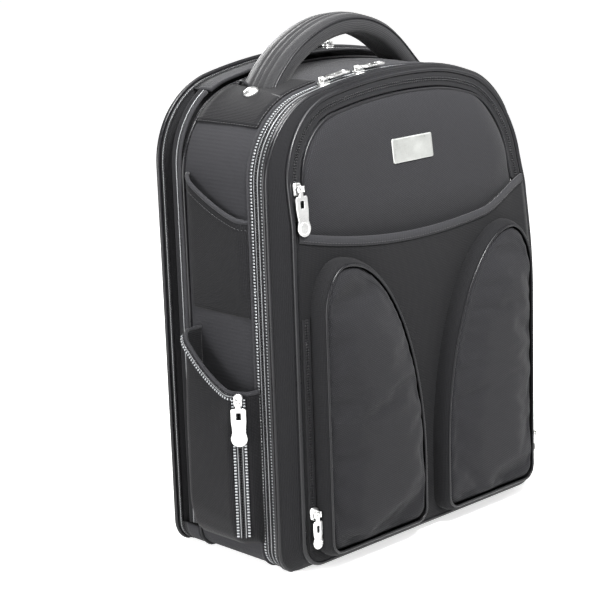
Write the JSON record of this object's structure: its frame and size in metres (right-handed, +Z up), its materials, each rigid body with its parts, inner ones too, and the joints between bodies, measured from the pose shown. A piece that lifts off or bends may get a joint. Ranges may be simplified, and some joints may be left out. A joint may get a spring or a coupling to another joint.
{
  "type": "flight crew backpack",
  "caption": "Soft flight bag worn as a backpack: clamshell main compartment, side-access laptop slot, fold-down organizer panel, zipped pockets and a padded top handle.",
  "frame": {"origin": "on the floor under the bag, centred across its width, 64 mm behind the main zip", "axes": "+X to the right of someone facing the bag's front, -Y out of the front, +Z up"},
  "size_m": [0.3826, 0.1933, 0.464],
  "materials": {
    "shell_fabric": "dense ballistic weave, faint sheen",
    "lining": "plain woven lining",
    "board": "smooth stiffener board",
    "zip_tape": "knitted tape with silver coil stripes",
    "piping": "smooth corded edge",
    "binding": "ribbed binding",
    "grip": "padded grip with stitched ridges",
    "bright_metal": "satin nickel",
    "back_fabric": "ballistic weave",
    "mesh_pad": "air mesh over foam",
    "webbing": "ribbed webbing",
    "buckle_plastic": "fine grain"
  },
  "bodies": {
    "main_body": {"main_gusset": "shell_fabric", "main_zip_rear": "zip_tape", "divider_panel": "lining", "base_board": "board", "laptop_gusset": "shell_fabric", "laptop_zip_front": "zip_tape", "side_pocket_left": "shell_fabric", "side_pocket_right": "shell_fabric", "side_zip_left": "zip_tape", "side_zip_right": "zip_tape", "slash_pocket_left": "shell_fabric", "slash_pocket_right": "shell_fabric", "handle_patch_left": "binding", "handle_patch_right": "binding", "handle_rivets": "bright_metal"},
    "handle": {"handle_grip": "grip"},
    "front_section": {"main_zip_front": "zip_tape", "rim_piping": "piping", "front_gusset": "shell_fabric", "front_inner_wall": "lining", "slip_back_wall": "lining", "lower_panel": "shell_fabric", "front_piping": "piping", "pocket_hem": "binding", "organizer_zip": "zip_tape", "arch_pocket_left": "shell_fabric", "arch_pocket_right": "shell_fabric", "arch_zip_left": "zip_tape", "arch_zip_right": "zip_tape"},
    "upper_flap": {"upper_panel": "shell_fabric", "blank_plate": "bright_metal"},
    "back_door": {"back_panel": "back_fabric", "laptop_zip_rear": "zip_tape", "back_pads": "mesh_pad", "strap_yoke": "back_fabric", "shoulder_strap_left": "mesh_pad", "shoulder_strap_right": "mesh_pad", "strap_webbing": "webbing"},
    "adjuster_left": {"adjuster_left": "buckle_plastic"},
    "adjuster_right": {"adjuster_right": "buckle_plastic"},
    "main_slider_left": {"main_slider_left": "bright_metal"},
    "main_slider_right": {"main_slider_right": "bright_metal"},
    "organizer_slider": {"organizer_slider": "bright_metal"},
    "side_slider_left": {"side_slider_left": "bright_metal"},
    "side_slider_right": {"side_slider_right": "bright_metal"},
    "arch_slider_left": {"arch_slider_left": "bright_metal"},
    "arch_slider_right": {"arch_slider_right": "bright_metal"},
    "laptop_slider": {"laptop_slider": "bright_metal"},
    "main_pull_left": {"main_pull_left": "bright_metal"},
    "main_pull_right": {"main_pull_right": "bright_metal"},
    "organizer_pull": {"organizer_pull": "bright_metal"},
    "side_pull_left": {"side_pull_left": "bright_metal"},
    "side_pull_right": {"side_pull_right": "bright_metal"},
    "arch_pull_left": {"arch_pull_left": "bright_metal"},
    "arch_pull_right": {"arch_pull_right": "bright_metal"},
    "laptop_pull": {"laptop_pull": "bright_metal"}
  },
  "joints": [
    {"name": "front_fold", "type": "hinge", "parent": "main_body", "child": "front_section", "pos_m": [0, -0.064, 0], "axis": [1, 0, 0], "range_deg": [0, 90]},
    {"name": "flap_fold", "type": "hinge", "parent": "front_section", "child": "upper_flap", "pos_m": [0, -0.094, 0.3025], "axis": [1, 0, 0], "range_deg": [0, 85]},
    {"name": "back_open", "type": "hinge", "parent": "main_body", "child": "back_door", "pos_m": [0.166, 0.04615, 0], "axis": [0, 0, -1], "range_deg": [0, 40]},
    {"name": "handle_tilt", "type": "hinge", "parent": "main_body", "child": "handle", "pos_m": [0, -0.012, 0.405], "axis": [1, 0, 0], "range_deg": [-12, 12]},
    {"name": "adjuster_left_tilt", "type": "hinge", "parent": "back_door", "child": "adjuster_left", "pos_m": [-0.086, 0.0693, 0.192], "axis": [1, 0, 0], "range_deg": [0, 35]},
    {"name": "adjuster_right_tilt", "type": "hinge", "parent": "back_door", "child": "adjuster_right", "pos_m": [0.086, 0.0693, 0.192], "axis": [1, 0, 0], "range_deg": [0, 35]},
    {"name": "main_slider_left_travel", "type": "hinge", "parent": "main_body", "child": "main_slider_left", "pos_m": [0, -0.064, -0.105], "axis": [0, 1, 0], "range_deg": [-2.22, 0]},
    {"name": "main_slider_right_travel", "type": "hinge", "parent": "main_body", "child": "main_slider_right", "pos_m": [0, -0.064, -0.105], "axis": [0, 1, 0], "range_deg": [0, 15.32]},
    {"name": "laptop_slider_travel", "type": "hinge", "parent": "main_body", "child": "laptop_slider", "pos_m": [0, 0.046, -0.097], "axis": [0, 1, 0], "range_deg": [-15.51, 7.51]},
    {"name": "organizer_slider_travel", "type": "hinge", "parent": "front_section", "child": "organizer_slider", "pos_m": [-0.08, -0.09025, 0.33257], "axis": [0, 0.9925, -0.1219], "range_deg": [0, 78]},
    {"name": "side_slider_left_travel", "type": "slide", "parent": "main_body", "child": "side_slider_left", "axis": [0, 0, -1], "range_m": [0, 0.11]},
    {"name": "arch_slider_left_travel", "type": "slide", "parent": "front_section", "child": "arch_slider_left", "axis": [0, 0, 1], "range_m": [0, 0.155]},
    {"name": "side_slider_right_travel", "type": "slide", "parent": "main_body", "child": "side_slider_right", "axis": [0, 0, -1], "range_m": [0, 0.11]},
    {"name": "arch_slider_right_travel", "type": "slide", "parent": "front_section", "child": "arch_slider_right", "axis": [0, 0, 1], "range_m": [0, 0.155]},
    {"name": "main_pull_left_swing", "type": "hinge", "parent": "main_slider_left", "child": "main_pull_left", "pos_m": [-0.08122, -0.064, 0.41368], "axis": [0, -1, 0], "range_deg": [0, 160]},
    {"name": "main_pull_right_swing", "type": "hinge", "parent": "main_slider_right", "child": "main_pull_right", "pos_m": [-0.03845, -0.064, 0.41859], "axis": [0, -1, 0], "range_deg": [0, 160]},
    {"name": "laptop_pull_swing", "type": "hinge", "parent": "laptop_slider", "child": "laptop_pull", "pos_m": [0.03662, 0.046, 0.42672], "axis": [0, 1, 0], "range_deg": [0, 160]},
    {"name": "organizer_pull_swing", "type": "hinge", "parent": "organizer_slider", "child": "organizer_pull", "pos_m": [-0.14425, -0.09719, 0.33342], "axis": [-1, 0, 0], "range_deg": [0, 160]},
    {"name": "side_pull_left_swing", "type": "hinge", "parent": "side_slider_left", "child": "side_pull_left", "pos_m": [-0.18609, -0.05709, 0.156], "axis": [-0.7071, 0.7071, 0], "range_deg": [0, 160]},
    {"name": "arch_pull_left_swing", "type": "hinge", "parent": "arch_slider_left", "child": "arch_pull_left", "pos_m": [-0.1438, -0.104, 0.056], "axis": [-1, 0, 0], "range_deg": [0, 160]},
    {"name": "side_pull_right_swing", "type": "hinge", "parent": "side_slider_right", "child": "side_pull_right", "pos_m": [0.18609, -0.05709, 0.156], "axis": [-0.7071, -0.7071, 0], "range_deg": [0, 160]},
    {"name": "arch_pull_right_swing", "type": "hinge", "parent": "arch_slider_right", "child": "arch_pull_right", "pos_m": [0.1438, -0.104, 0.056], "axis": [-1, 0, 0], "range_deg": [0, 160]}
  ]
}
